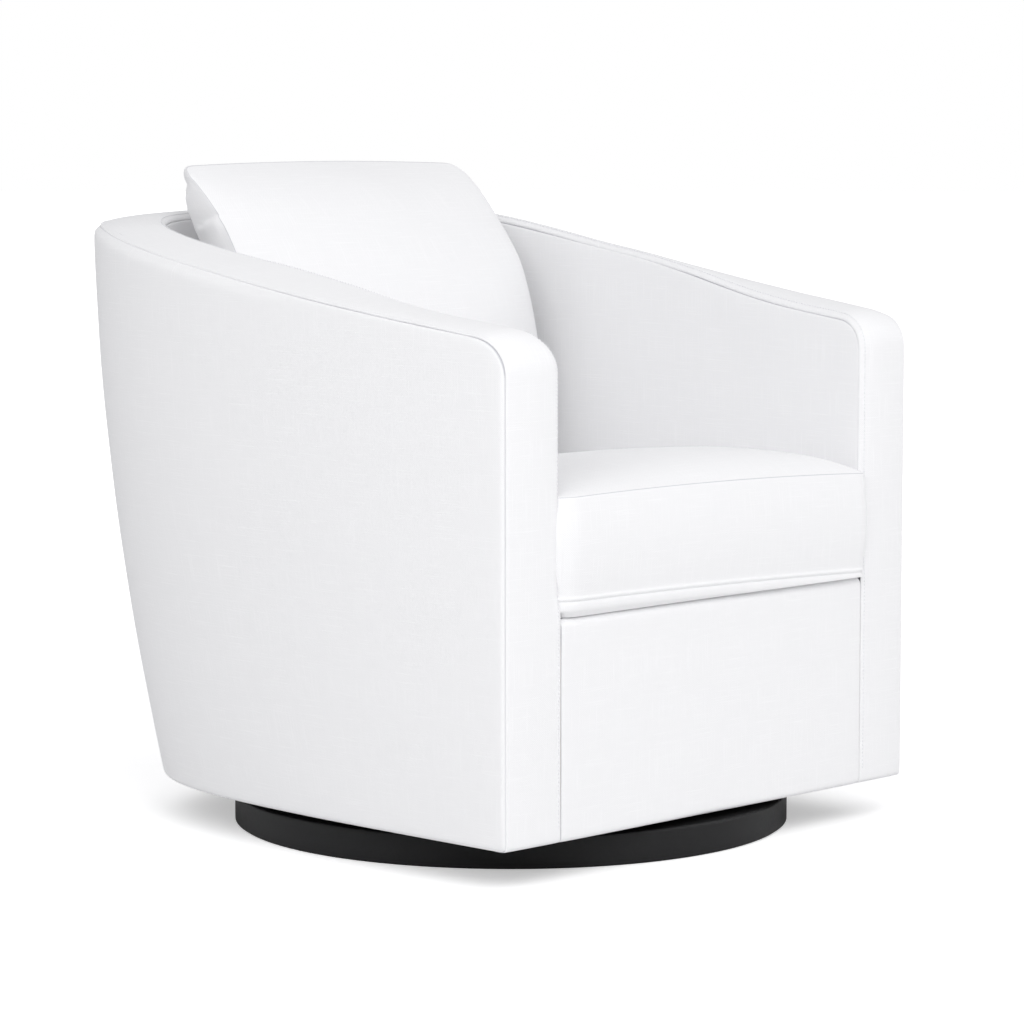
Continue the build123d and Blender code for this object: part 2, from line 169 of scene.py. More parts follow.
def grown_noise(tree, size, detail=2.0, stretch=(1, 1, 1)):
    """Noise over the object's own places whose blotches are about the given size in metres."""
    places = add_node(tree, "TexCoord")
    scale = [share / size for share in stretch]
    drawn = add_node(tree, "Mapping", {"Vector": places.outputs["Object"], "Scale": scale})
    return add_node(tree, "TexNoise", {"Vector": drawn.outputs[0], "Scale": 1.0, "Detail": detail})


def surface(tree, inputs):
    """Close a material with one shader, its inputs linked or filled."""
    shader = add_node(tree, "BsdfPrincipled", inputs)
    add_node(tree, "OutputMaterial", {"Surface": shader.outputs[0]})


def mottled(name, tones, size, detail, relief, shine, inputs=None, stretch=(1, 1, 1)):
    """Material whose colour, shine and relief vary together, in blotches of about the given size in metres.

    Tones and shine are the two ends of its colour and its roughness, and relief is a strength and a depth.
    """
    material, tree = new_material(name)
    blotches = grown_noise(tree, size, detail, stretch).outputs[0]
    tone = add_node(tree, "Mix", {0: blotches, 6: linear(tones[0]), 7: linear(tones[1])}, data_type="RGBA")
    roughness = add_node(tree, "MapRange", {0: blotches, 3: shine[0], 4: shine[1]})
    skin = add_node(tree, "Bump", {"Height": blotches, "Strength": relief[0], "Distance": relief[1]})
    surface(tree, {
        "Base Color": tone.outputs[2],
        "Roughness": roughness.outputs[0],
        "Normal": skin.outputs[0],
        **(inputs or {}),
    })
    return material


black_paint = mottled("matt_black_paint_on_wood", ("#1b1b1c", "#222223"), 0.004, 3.0, (0.06, 0.0003),
                      (0.42, 0.55), {"Specular IOR Level": 0.16})
dress(black_paint, "plinth_rim", "plinth_board")

felt = mottled("black_wool_felt", ("#1c1c1d", "#3a3a3c"), 0.0006, 4.0, (0.6, 0.0004), (0.95, 0.95),
               {"Sheen Weight": 0.3})
dress(felt, "floor_felt")


# Swivel: two pressed zinc-plated plates with a ball race, polished balls in a moulded nylon cage,
# a hollow rivet through both plates and pan-head screws to the base and the frame.
def metal(name, colour, roughness, grain):
    """Plated or polished steel whose drawn or rolled surface shows as fine grain of the given size."""
    shine = (0.8 * roughness, 1.2 * roughness)
    return mottled(name, (colour, colour), grain, 3.0, (0.05, 0.0002), shine, {"Metallic": 1.0}, (1, 0.08, 1))


dress(metal("zinc_plated_steel", "#c3c5c8", 0.38, 0.002), "swivel_lower_plate", "swivel_upper_plate",
      "swivel_rivet", "lower_plate_screws", "upper_plate_bolts")
dress(metal("polished_ball_steel", "#e0e0e2", 0.12, 0.001), "bearing_balls")

nylon = mottled("moulded_nylon", ("#e2dfd2", "#ece9de"), 0.008, 2.0, (0.0, 0.0002), (0.45, 0.45),
                {"IOR": 1.53})
dress(nylon, "ball_cage")


# Frame: planed hardwood rails and posts, glued and blocked at the corners, with plywood panels over them.
# Growth rings and pores run along each board, and the sheet stock shows paler, wilder grain.
def wood(name, pale, dark, ring, stretch):
    """Planed wood with growth rings of the given width, drawn out along the grain."""
    material, tree = new_material(name)
    rings = grown_noise(tree, ring, detail=6.0, stretch=stretch)
    pores = grown_noise(tree, ring / 8, detail=2.0, stretch=stretch)
    tone = add_node(tree, "Mix", {0: rings.outputs[0], 6: linear(pale), 7: linear(dark)}, data_type="RGBA")
    planed = add_node(tree, "Bump", {"Height": pores.outputs[0], "Strength": 0.2, "Distance": 0.0003})
    surface(tree, {"Base Color": tone.outputs[2], "Roughness": 0.7, "Normal": planed.outputs[0]})
    return material


sides = ("left", "right")
upright = [f"{place}_post_{side}" for place in ("arm", "middle", "back") for side in sides]
running = [f"{place}_rail_{side}" for place in ("arm", "bottom", "seat") for side in sides]
across = ["back_rail", "bottom_rail_back", "bottom_rail_front", "spring_rail_front", "spring_rail_back",
          "swivel_board_front", "swivel_board_back", "corner_blocks", "plinth_braces"]
for lie, stretch, boards in (
    ("upright", (1, 1, 0.06), upright),
    ("lengthwise", (1, 0.06, 1), running),
    ("crosswise", (0.06, 1, 1), across),
):
    dress(wood("planed_hardwood_" + lie, "#d8b98c", "#b78f5c", 0.006, stretch), *boards)
dress(wood("birch_plywood", "#e2cda6", "#c9ab78", 0.012, (1, 1, 0.1)), "outside_panel", "front_board")


# Webbing and dust cover: woven elastic straps laced across the seat rails, and a black spun-bonded sheet
# stapled under the frame. The straps show a coarse pebbly weave, and the sheet a fine dimpled bond.
def pebbled(name, colour, shade, spacing, roughness):
    """Coarse cloth whose knots or bonds lie about the given spacing apart, in metres."""
    material, tree = new_material(name)
    places = add_node(tree, "TexCoord")
    knots = add_node(tree, "TexVoronoi", {"Vector": places.outputs["Object"], "Scale": 1 / spacing})
    tone = add_node(tree, "Mix", {0: knots.outputs[0], 6: linear(colour), 7: linear(shade)}, data_type="RGBA")
    weave = add_node(tree, "Bump", {"Height": knots.outputs[0], "Strength": 0.5, "Distance": 0.0004})
    surface(tree, {
        "Base Color": tone.outputs[2],
        "Roughness": roughness,
        "Specular IOR Level": 0.2,
        "Normal": weave.outputs[0],
    })
    return material


dress(pebbled("woven_elastic_webbing", "#6b5f50", "#453d33", 0.003, 0.85),
      "seat_webbing_long", "seat_webbing_cross")
dress(pebbled("black_spun_bonded_sheet", "#202021", "#141415", 0.0025, 0.8), "dust_cover")

# Outside cover: one length of white linen-look cloth drawn round the barrel from arm front to arm front,
# sewn to the band along the top and up the arm fronts, and turned under the bottom rails.
front_y = -0.334
rim_back_y = 0.479
plan_lead_y = front_y - 0.040
foot_plan = np.array([(0.352, plan_lead_y), (0.364, 0.295), (0.352, 0.409), (0.0, 0.409)])
rim_plan = np.array([(0.349, plan_lead_y), (0.434, 0.475), (0.350, rim_back_y), (0.0, rim_back_y)])
hem_z = 0.0465
deck_z = 0.302
flare_height = 0.612
flare_bow = 0.178
inner_flare = 0.35
arm_front_z = 0.625
back_rim_z = 0.745
rim_sag = 0.0077
level_rim_y = 0.42
rim_bend = 0.02
arm_thickness = 0.080
arm_corner = 0.050
edge_round = 0.0075
hem_round = 0.007
hem_lap = 0.012
right_drop = 0.004
shoulder_tuck = 0.0085
shoulder_round = 0.021
panel_drop = 0.0160
cloth_step = 0.009
seam_steps = np.array([-0.003, 0.0, 0.0014, 0.0032, 0.006, 0.011, 0.018])
past_seam = 0.026
seam_allowance = 0.005
groove_width = 0.0011
pillow_depth, pillow_width = 0.0012, 0.009
fullness = 0.0010
uneven_depth, uneven_wave = 0.0005, 0.16
pull_depth, pull_spacing, pull_reach = 0.00022, 0.019, 0.022
measured_level = 0.35
halvings = 34


def plan_points(level, inset):
    """Control points of the right half of the barrel's plan at a height, moved inwards by an inset."""
    rise = (level - hem_z) / flare_height
    flare = (rise + 4 * flare_bow * rise * (1 - rise))[..., None, None]
    points = foot_plan + (rim_plan - foot_plan) * flare
    legs = np.diff(points, axis=-2)
    legs = legs / np.linalg.norm(legs, axis=-1, keepdims=True)
    normals = np.stack([-legs[..., 1], legs[..., 0]], -1)
    first = normals[..., :1, :] - legs[..., :1, :] * (normals[..., :1, 1:] / legs[..., :1, 1:])
    before, after = normals[..., :-1, :], normals[..., 1:, :]
    inner = (before + after) / (1 + (before * after).sum(-1, keepdims=True))
    moves = np.concatenate([first, inner, normals[..., 2:, :]], -2)
    return points + moves * inset[..., None, None]


def wall_point(share, level, inset):
    """Place on the barrel's right half, by its share of the plan's curve, its height and its inset.

    The padded inner side stands more upright than the flared outside, so the wall thickens towards its rim.
    """
    share, level, inset = np.broadcast_arrays(*(np.asarray(value, float) for value in (share, level, inset)))
    upright = np.clip(inset / arm_thickness, 0, 1) * (1 - inner_flare)
    a, b, c, d = np.moveaxis(plan_points(level - upright * np.maximum(level - deck_z, 0), inset), -2, 0)
    t = share[..., None]
    flat = a * (1 - t) ** 3 + 3 * b * t * (1 - t) ** 2 + 3 * c * t * t * (1 - t) + d * t ** 3
    return np.concatenate([flat, level[..., None]], -1)


def halved(falls_short, shape, least):
    """Shares of the plan's curve, from the least to 1, up to which a test says that they fall short."""
    low, high = np.full(shape, least), np.ones(shape)
    for _ in range(halvings):
        middle = (low + high) / 2
        short = falls_short(middle)
        low, high = np.where(short, middle, low), np.where(short, high, middle)
    return (low + high) / 2


def share_at(y, level, inset):
    """Share of the plan's curve at which the barrel reaches a depth."""
    y, level, inset = np.broadcast_arrays(*(np.asarray(value, float) for value in (y, level, inset)))
    return halved(lambda share: wall_point(share, level, inset)[..., 1] < y, y.shape, 0.0)


def run_along(places):
    """Distance run along a line of places, from its first."""
    return np.concatenate([[0], np.cumsum(np.linalg.norm(np.diff(places, axis=0), axis=1))])


measured_start = float(share_at(front_y, measured_level, 0.0))
measured_shares = np.linspace(measured_start, 1, 600)
measured_line = wall_point(measured_shares, measured_level, 0.0)
measured_run = run_along(measured_line)
half_girth = measured_run[-1]


def wall_at(along, level, inset):
    """Place on the barrel's right half, by the distance round it from the arm front, height and inset."""
    start = share_at(front_y, level, inset)
    shares = (np.interp(along, measured_run, measured_shares) - measured_start) / (1 - measured_start)
    return wall_point(start + (1 - start) * shares, level, inset)


def frame_rim(y):
    """Height of the frame's rim at a depth: a sagging slope from arm front to back."""
    share = (y - front_y) / (rim_back_y - front_y)
    return arm_front_z + share * (back_rim_z - arm_front_z) - 4 * rim_sag * share * (1 - share)


def rim_height(y):
    """Height of the band's outer edge at a depth: it follows the frame's rim and ends level at the back."""
    return frame_rim(level_rim_y - rim_bend * np.log1p(np.exp((level_rim_y - y) / rim_bend)))


def eased(share):
    """Share from 0 to 1 that starts and ends softly."""
    share = np.clip(share, 0, 1)
    return share * share * (3 - 2 * share)


def back_share(y):
    """Share of the band's tilt at a depth: none along the front of the arms, all of it towards the back."""
    return eased((y + 0.20) / 0.28)


corner_y = front_y + arm_corner
corner_tilt = math.atan((rim_height(corner_y) - rim_height(front_y)) / arm_corner)
touch_y = corner_y - arm_corner * math.sin(corner_tilt)
corner_z = rim_height(touch_y) - arm_corner * math.cos(corner_tilt)
corner_turn = math.pi / 2 - corner_tilt


def corner_radius(turn, front_gap, drops):
    """Radius of the seam round the corner at an arm's front, from the front at no turn to the arm's top."""
    return arm_corner - front_gap - (drops[0] - front_gap) * eased(turn / corner_turn)


def on_arm(y):
    """Share of an arm's own droop at a depth: all of it along the arm, and none round the back."""
    return eased((0.40 - y) / 0.26)


def seam_level(along, inset, front_gap, drops, lowered):
    """Height of the seam under the band at a distance round the barrel, falling round an arm's front corner.

    The seam lies a gap behind the arm's front, and drops under the rim by one amount on the arms
    and another at the back.
    """
    turn = np.linspace(0, corner_turn, 40)
    radius = corner_radius(turn, front_gap, drops + lowered)
    corner_along = arm_corner - radius * np.cos(turn)
    corner_level = corner_z + radius * np.sin(turn)
    level = np.full(np.shape(along), arm_front_z)
    for _ in range(4):
        y = wall_at(along, level, inset)[..., 1]
        level = rim_height(y) - drops[0] - (drops[1] - drops[0]) * back_share(y) - lowered * on_arm(y)
    return np.where(along < corner_along[-1], np.interp(along, corner_along, corner_level), level)


def shoulder(y, drop, lowered):
    """Inset of the outside near the rim, where the wall's shoulder rounds over towards the back of the chair.

    It rounds over only above the plywood panel, whose top edge lies a little under the frame's rim.
    """
    share = np.clip(1 - (drop - 0.007) / shoulder_round, 0, 1.2)
    above_panel = rim_height(y) - drop - lowered * on_arm(y) - (frame_rim(y) - panel_drop)
    return np.minimum(shoulder_tuck * back_share(y - 0.12) * share * share, np.maximum(above_panel, 0))


def drift(across, up, wave, turn):
    """Slow unevenness of stretched cloth, from -1 to 1, in waves of about the given length."""
    total = 0
    for number in range(4):
        angle = turn + 2.4 * number
        length = wave * (1 + 0.35 * number)
        run = across * np.cos(angle) + up * np.sin(angle)
        total = total + np.sin(2 * np.pi * run / length + turn * number)
    return total / 4


def wall_panel(base_inset, inwards, bottom_rows, bottom_level, front_gap, drops, lowered=0.0):
    """Half of a wall cover as places, cloth places and distance from its seams, pillowed along the seams.

    Inwards is 1 where the cloth tucks in by a growing inset, and -1 on the seat side of the wall.
    """
    even_steps = np.arange(front_gap + past_seam, half_girth, cloth_step)
    along = np.concatenate([front_gap + seam_steps, even_steps, [half_girth]])
    count = int((arm_front_z - bottom_level) / cloth_step)
    top = seam_level(along, base_inset, front_gap, drops, lowered)
    rows = []
    for tuck, lift in bottom_rows:
        rows.append((np.full(along.shape, bottom_level + lift), np.full(along.shape, tuck)))
    for share in np.linspace(0, 1, count)[:-1]:
        start = bottom_level + hem_round
        rows.append((start + (top - seam_steps[-1] - start) * share, np.zeros(along.shape)))
    for drop in seam_steps[::-1]:
        rows.append((top - drop, np.zeros(along.shape)))
    level = np.array([row[0] for row in rows])
    tuck = np.array([row[1] for row in rows])
    along = np.broadcast_to(along, level.shape)
    to_front = along - front_gap
    to_top = top - level
    edge = np.minimum(to_front, to_top)
    in_corner = (along < arm_corner) & (level > corner_z) & (edge > 0)
    radius = corner_radius(np.arctan2(level - corner_z, arm_corner - along), front_gap, drops + lowered)
    to_corner = np.maximum(radius - np.hypot(along - arm_corner, level - corner_z), 0)
    edge = np.where(in_corner, np.minimum(to_corner, edge), edge)
    groove = 0.0016 if inwards > 0 else 0.0007
    inset = groove * np.exp(-np.maximum(edge, 0) / groove_width)
    inset += pillow_depth * np.exp(-np.abs(edge) / pillow_width) - fullness
    inset += seam_allowance * np.clip(edge / seam_steps[0], 0, 1)
    inset += uneven_depth * drift(along, level, uneven_wave, 0.9 + inwards) * np.clip(edge / 0.03, 0, 1)
    pulls = np.sin(2 * np.pi * level / pull_spacing + 2.0 * np.sin(level / 0.043))
    inset += pull_depth * pulls * np.exp(-to_front / pull_reach) * np.clip(edge / 0.004, 0, 1)
    if inwards > 0:
        turn_in = np.clip(1 - along / edge_round, 0, 1)
        inset += edge_round * (1 - np.sqrt(1 - turn_in * turn_in))
        inset += shoulder(wall_at(along, level, 0.0)[..., 1], to_top + drops[0], lowered)
    swollen = base_inset * (1 + 0.04 * np.exp(-to_front / 0.03))
    behind_front = along + 1.2 * tuck * np.clip(1 - along / 0.06, 0, 1)
    places = wall_at(behind_front, level, swollen + inwards * (inset + tuck))
    return places, np.stack([along, level], -1), np.maximum(edge, 0)


def joined_halves(right, left):
    """A right and a left half cover as one sheet, from the right arm round the back to the left."""
    places, cloth, gap = left
    places = places[:, -2::-1] * np.array([-1, 1, 1])
    cloth = cloth[:, -2::-1] * np.array([-1, 1]) + np.array([2 * half_girth, 0])
    return tuple(np.concatenate(pair, 1) for pair in zip(right, (places, cloth, gap[:, -2::-1])))


def sewn_object(name, patches, weld=0.00002):
    """Mesh object from sheets of places, cloth places and distance from a seam, welded where edges meet."""
    corners, faces, cloth, gaps, held = [], [], [], [], []
    first = 0
    for places, weave, gap, *hold in patches:
        rows, columns = places.shape[:2]
        index = first + np.arange(rows * columns).reshape(rows, columns)
        first += rows * columns
        quads = np.stack([index[:-1, :-1], index[:-1, 1:], index[1:, 1:], index[1:, :-1]], -1)
        faces.append(quads.reshape(-1, 4))
        corners.append(places.reshape(-1, 3))
        cloth.append(weave.reshape(-1, 2))
        gaps.append(gap.ravel())
        held.append(hold[0].ravel() if hold else np.zeros(rows * columns))
    mesh = bpy.data.meshes.new(name)
    mesh.from_pydata(np.concatenate(corners).tolist(), [], np.concatenate(faces).tolist())
    cloth = np.concatenate(cloth)
    used = np.zeros(len(mesh.loops), int)
    mesh.loops.foreach_get("vertex_index", used)
    mesh.uv_layers.new(name="weave").uv.foreach_set("vector", cloth[used].astype(np.float32).ravel())
    # The distance from a seam is kept on the mesh, and the cloth's material darkens the colour close to a
    # seam as painted shade.
    for label, values in (("seam_gap", gaps), ("held", held)):
        mark = mesh.attributes.new(label, "FLOAT", "POINT")
        mark.data.foreach_set("value", np.concatenate(values).astype(np.float32))
    bm = bmesh.new()
    bm.from_mesh(mesh)
    bmesh.ops.remove_doubles(bm, verts=bm.verts, dist=weld)
    bm.to_mesh(mesh)
    bm.free()
    mesh.shade_smooth()
    return placed(name, mesh)


drawn_pitch = 0.0025
slub_width = 0.0015
slub_length = 0.060
slub_from, slub_full = 0.55, 0.90
slub_relief = 1.6
wander_size = 0.012
seam_shade_width = 0.0008
# Tones of the weave and its slubs, and a darker seam tone that is painted shade of the narrow crevice along
# each seam.
cloth_and_seam_shade_tones = {"thread": "#f4f4f5", "gap": "#efeff0", "slub": "#f7f7f8", "seam": "#c3c3c8"}

# The cloth is a plain weave of slubby yarn: matt, with thick places in both directions.
# A thread is about 1.1 mm, less than a pixel, so the weave is drawn at 2.5 mm to show at all.
white_cloth, tree = new_material("white_slub_weave_cloth")
weave_map = add_node(tree, "UVMap", uv_map="weave")
wander = add_node(tree, "TexNoise", {"Vector": weave_map.outputs[0], "Scale": 1 / wander_size, "Detail": 1.0})
wandered = add_node(tree, "VectorMath", {
    0: wander.outputs["Color"],
    1: [0.8 * drawn_pitch] * 3,
    2: weave_map.outputs[0],
}, operation="MULTIPLY_ADD")
turns = add_node(tree, "VectorMath", {
    0: wandered.outputs[0],
    1: [2 * math.pi / drawn_pitch] * 3,
}, operation="MULTIPLY")
waves = add_node(tree, "VectorMath", {0: turns.outputs[0]}, operation="SINE")
threads = add_node(tree, "SeparateXYZ", {0: waves.outputs[0]})
crossing = add_node(tree, "Math", {0: threads.outputs[0], 1: threads.outputs[1]}, operation="MULTIPLY")
weave = add_node(tree, "MapRange", {0: crossing.outputs[0], 1: -1.0, 2: 1.0})
slubs = []
for stretch in ((1 / slub_width, 1 / slub_length, 1), (1 / slub_length, 1 / slub_width, 1)):
    laid = add_node(tree, "Mapping", {"Vector": weave_map.outputs[0], "Scale": stretch})
    uneven = add_node(tree, "TexNoise", {"Vector": laid.outputs[0], "Scale": 1.0, "Detail": 1.0})
    thick = add_node(tree, "MapRange", {0: uneven.outputs[0], 1: slub_from, 2: slub_full})
    slubs.append(thick.outputs[0])
slub = add_node(tree, "Math", {0: slubs[0], 1: slubs[1]}, operation="MAXIMUM")
# Close to a seam the colour darkens to the seam tone: painted shade of the seam's crevice, not a colour of
# the cloth.
seam_gap = add_node(tree, "Attribute", attribute_name="seam_gap")
seam_shade_share = add_node(tree, "MapRange", {0: seam_gap.outputs["Fac"], 1: 0.0, 2: seam_shade_width, 3: 1.0, 4: 0.0})
cloth_tone = linear(cloth_and_seam_shade_tones["gap"])
for share, tone in ((weave, "thread"), (slub, "slub"), (seam_shade_share, "seam")):
    cloth_tone = add_node(tree, "Mix", {
        0: share.outputs[0],
        6: cloth_tone,
        7: linear(cloth_and_seam_shade_tones[tone]),
    }, data_type="RGBA").outputs[2]
relief = add_node(tree, "Math", {
    0: slub.outputs[0],
    1: slub_relief,
    2: weave.outputs[0],
}, operation="MULTIPLY_ADD")
cloth_bump = add_node(tree, "Bump", {"Height": relief.outputs[0], "Strength": 0.18, "Distance": 0.0004})
surface(tree, {
    "Base Color": cloth_tone,
    "Roughness": 0.92,
    "Specular IOR Level": 0.15,
    "Sheen Weight": 0.08,
    "Sheen Roughness": 0.5,
    "Normal": cloth_bump.outputs[0],
})

cloth_thickness = 0.0015


def upholster(item, material, slot, body, *replaced, thickness=cloth_thickness):
    """Smooth a sewn piece, give its cloth a thickness and its material, and fix it to its body."""
    smooth = item.modifiers.new("smooth", "SUBSURF")
    smooth.levels = smooth.render_levels = 1
    if thickness:
        ply = item.modifiers.new("ply", "SOLIDIFY")
        ply.thickness = thickness
        ply.offset = -1
    item.data.materials.append(material)
    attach(item, body)
    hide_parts(*replaced)


outer_front_gap = 0.0030
outer_drops = np.array([0.0076, 0.0066])
hem_turns = np.linspace(0, math.pi / 2, 6)
hem_curve = [(hem_round * (1 - math.sin(turn)), hem_round * (1 - math.cos(turn))) for turn in hem_turns]
hem_rows = [(hem_round + hem_lap, 0.0)] + hem_curve
outside_halves = (
    wall_panel(0.0, 1, hem_rows, hem_z, outer_front_gap, outer_drops, lowered)
    for lowered in (1.5 * right_drop, 0.0)
)
outside = sewn_object("outside_cover_cloth", [joined_halves(*outside_halves)])
upholster(outside, white_cloth, "white_cloth", "chair", "outside_cover")

# Inside cover: the lining of the wall, the same cloth over a slab of foam glued to the frame.
# It is sewn to the band's inner edge and runs down behind the seat cushion to the deck.
inner_front_gap = 0.0100
inner_drops = np.array([0.0126, -0.0042])
lining_rows = [(0.0, 0.0), (0.0, hem_round / 2)]
lining_foot_z = deck_z - 0.02
lining_halves = (
    wall_panel(arm_thickness, -1, lining_rows, lining_foot_z, inner_front_gap, inner_drops, lowered)
    for lowered in (right_drop, 0.0)
)
places, weave_places, gap = joined_halves(*lining_halves)
inside = sewn_object("inside_cover_cloth", [(places[:, ::-1], weave_places[:, ::-1], gap[:, ::-1])])
upholster(inside, white_cloth, "white_cloth", "chair", "inside_cover", "wall_foam")

# Band: a strip of the same cloth over foam, up one arm's front, round the whole rim and down the other arm.
# Its seam allowance is turned up and topstitched along the outer edge, which stands up as a narrow ridge.

# The rows give inset and drop in mm from the outer seam to the inner: up an arm's front, then on its foot,
# along the arm's top, where the band is domed, and round the back, where its inner edge stands higher.
arm_section = 0.001 * np.array([
    (6.2, 5.6), (4.8, 4.2), (3.4, 3.0), (3.5, 2.1), (4.1, 1.3), (5.1, 0.6), (6.2, 0.3), (7.0, 0.4),
    (8.0, 0.05), (10.2, -0.3), (14.0, -0.7), (20.0, -1.1), (30.0, -1.6), (41.0, -1.8), (53.0, -1.5),
    (65.0, -0.7), (73.0, 0.5), (78.6, 2.2), (82.4, 4.8), (84.0, 7.6), (83.4, 9.2), (82.0, 10.2), (80.4, 11.2),
])
foot_section = arm_section.copy()
foot_section[15:] = 0.001 * np.array([
    (65.0, -1.2), (73.0, -0.9), (78.6, -0.3), (81.8, 0.4), (83.2, 1.2), (83.6, 2.0), (83.0, 2.8), (81.8, 3.6),
])
top_section = 0.001 * np.array([
    (5.2, 9.8), (3.6, 8.7), (2.0, 7.7), (0.9, 7.0), (0.4, 5.9), (1.3, 4.7), (2.8, 4.2), (4.2, 4.9),
    (5.6, 4.2), (8.0, 3.1), (12.0, 1.9), (19.0, 0.5), (29.0, -0.6), (40.0, -1.0), (52.0, -0.8),
    (63.0, 0.2), (70.0, 1.9), (75.0, 4.2), (78.6, 7.4), (79.9, 10.4), (79.2, 12.0), (77.8, 13.0),
    (76.2, 14.0),
])
back_section = 0.001 * np.array([
    (5.2, 8.8), (3.6, 7.7), (2.0, 6.7), (0.9, 6.0), (0.4, 4.9), (1.3, 3.7), (2.8, 3.2), (4.2, 4.0),
    (5.6, 3.1), (8.0, 2.2), (12.0, 1.1), (19.0, -0.8), (29.0, -3.2), (40.0, -5.8), (52.0, -8.6),
    (63.0, -10.8), (70.0, -11.4), (75.0, -10.6), (78.6, -8.0), (79.9, -5.0), (79.2, -3.4), (77.8, -2.4),
    (76.2, -1.4),
])
stitch_row = 7
# Distance of each band row from its seams; rows close to a seam take the painted seam shade in the cloth's
# colour.
section_gap = np.full(len(top_section), 0.01)
section_gap[[0, 1, 2, 3, -4, -3, -2, -1]] = (0, 0, 0.0002, 0.0014, 0.0024, 0.0009, 0, 0)

# Each station holds the band's depth and height, which way a drop moves it in each, and its share of the turn
# from an arm's front to its top. On the hem, the seam allowances lie flat.
stations = [(front_y + hem_round + hem_lap, hem_z, 0.0, 0.0, 0.0)]
for turn, (back, up) in zip(hem_turns[:-1], hem_curve):
    stations.append((front_y + back, hem_z + up, math.sin(turn), 0.0, 0.0))
hem_stations = len(stations)
for level in np.arange(hem_z + hem_round, corner_z, cloth_step):
    stations.append((front_y, level, 1.0, 0.0, 0.0))
for turn in np.linspace(0, corner_turn, 13):
    over, up = math.cos(turn), math.sin(turn)
    place = (corner_y - arm_corner * over, corner_z + arm_corner * up)
    stations.append((*place, over, -up, turn / corner_turn))
stations = np.array(stations)
above_deck = np.clip((stations[:, 1] - deck_z - 0.002) / 0.03, 0, 1)[:, None, None]
turned = eased(stations[:, 4])[:, None, None]
front_sections = foot_section + (arm_section - foot_section) * above_deck
front_sections = front_sections + (top_section - front_sections) * turned
front_sections[:hem_stations, :2, 0] = 0.0032, 0.0033
front_sections[:hem_stations, -2:, 0] = 0.0837, 0.0838

rim_start = float(np.interp(touch_y, measured_line[:, 1], measured_run)) + cloth_step
rim_along = np.append(np.arange(rim_start, half_girth - cloth_step / 2, cloth_step), half_girth)[:, None]
rim_y = wall_at(rim_along, arm_front_z, arm_thickness / 2)[..., 1]
outer_y = wall_at(rim_along, rim_height(rim_y), 0.0)[..., 1]
rim_sections = top_section + (back_section - top_section) * back_share(rim_y)[..., None]


def outer_more(insets):
    """How many times more the outer edge of a lowered rim comes down than the rest."""
    return 1 + 0.5 * np.clip(1 - insets / 0.06, 0, 1) ** 2


def band_half(lowered):
    """Places of the band's right half, by station and row, its rim lowered by the given amount."""
    insets, drops = front_sections[..., 0], front_sections[..., 1]
    drops = drops + lowered * outer_more(insets) * turned[..., 0]
    y = stations[:, 0, None] + stations[:, 2, None] * drops
    level = stations[:, 1, None] + stations[:, 3, None] * drops
    arm_part = wall_point(share_at(y, level, insets), level, insets)
    insets, drops = rim_sections[..., 0], rim_sections[..., 1]
    drops = drops + lowered * outer_more(insets) * on_arm(outer_y)
    insets = insets + shoulder(outer_y, 0.007, 1.5 * lowered) * np.clip(1 - insets / 0.04, 0, 1) ** 2
    levels = np.full(insets.shape, back_rim_z)
    for _ in range(5):
        levels = rim_height(wall_at(rim_along, levels, insets)[..., 1]) - drops
    places = np.concatenate([arm_part, wall_at(rim_along, levels, insets)], 0)
    from_stitches = np.abs(np.arange(len(top_section)) - stitch_row - 1)
    places[..., 2] += pucker_depth * pucker * np.exp(-from_stitches / 2)
    places[..., 2] += uneven_depth * drift(band_run[:, None], band_across[None, :], band_wave, 0.4)
    return places


band_count = len(stations) + len(rim_along)
band_run = cloth_step * np.arange(band_count)
band_across = run_along(top_section)
band_wave = 0.11
pucker_depth, pucker_spacing = 0.00025, 0.016
pucker = np.sin(2 * np.pi * band_run / pucker_spacing + 1.8 * np.sin(band_run / 0.037))[:, None]
right_half, left_half = band_half(right_drop), band_half(0.0)
left_fullness = 0.0075
on_front = np.concatenate([1 - turned[:, 0, 0], np.zeros(len(rim_along))])[:, None]
left_half[..., 0] -= left_fullness * on_front * np.clip((arm_section[:, 0] - 0.03) / 0.05, 0, 1)
middle = (right_half[-1] + left_half[-1]) / 2
right_half[-1] = left_half[-1] = middle
band_cloth = np.stack(np.broadcast_arrays(band_across[None, :], band_run[:, None]), -1)
band_gap = np.broadcast_to(section_gap, right_half.shape[:2])
other_half = left_half[-2::-1] * np.array([-1, 1, 1])
other_cloth = band_cloth[-2::-1] * np.array([1, -1]) + np.array([0, 2 * band_run[-1]])
band_whole = np.concatenate([right_half, other_half])
band_sheet = (
    band_whole.swapaxes(0, 1),
    np.concatenate([band_cloth, other_cloth]).swapaxes(0, 1),
    np.concatenate([band_gap, band_gap[-2::-1]]).swapaxes(0, 1),
)
band = sewn_object("band_cloth", [band_sheet])
upholster(band, white_cloth, "white_cloth", "chair", "band_cover", "band_foam")

